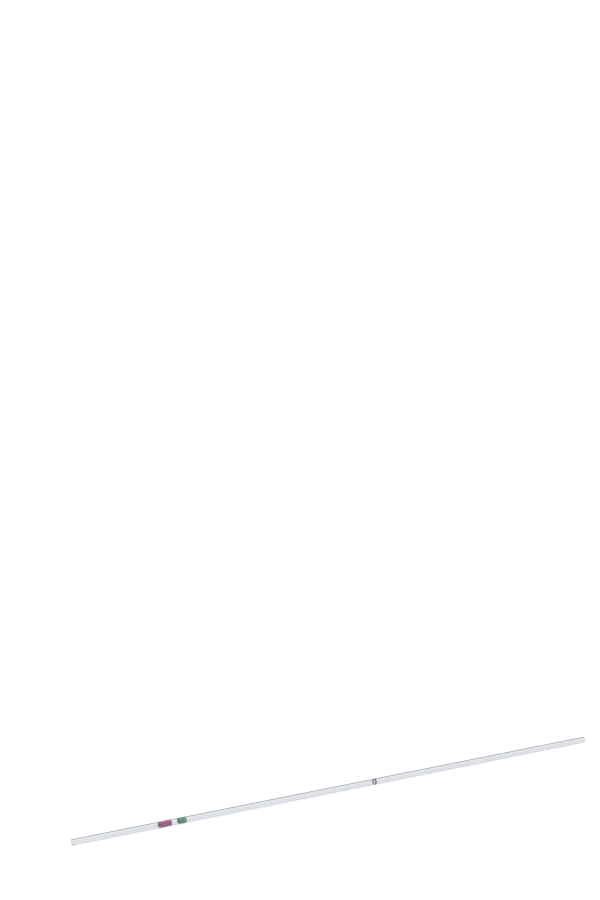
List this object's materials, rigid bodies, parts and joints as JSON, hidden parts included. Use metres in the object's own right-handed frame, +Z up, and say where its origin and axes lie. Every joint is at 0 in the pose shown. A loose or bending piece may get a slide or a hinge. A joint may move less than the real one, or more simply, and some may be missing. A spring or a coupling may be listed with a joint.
{
  "type": "ring-marked glass capillary tube",
  "caption": "Straight glass capillary, open at both ends, with colour-code bands near one end and a ring mark for the volume it draws up from the other.",
  "frame": {"origin": "under the middle of the tube's length, on the surface that it lies on", "axes": "+X along the tube from the colour-coded end, which goes into the holder, to the filling end; +Z up; the tube's axis is 0.645 mm above the origin"},
  "size_m": [0.125, 0.0012, 0.0013],
  "materials": {
    "glass": "polished",
    "violet_enamel": "gloss",
    "green_enamel": "gloss",
    "black_enamel": "gloss"
  },
  "bodies": {
    "root": {"glass_tube": "glass", "violet_code_band": "violet_enamel", "green_code_band": "green_enamel", "volume_ring_mark": "black_enamel"}
  },
  "joints": []
}
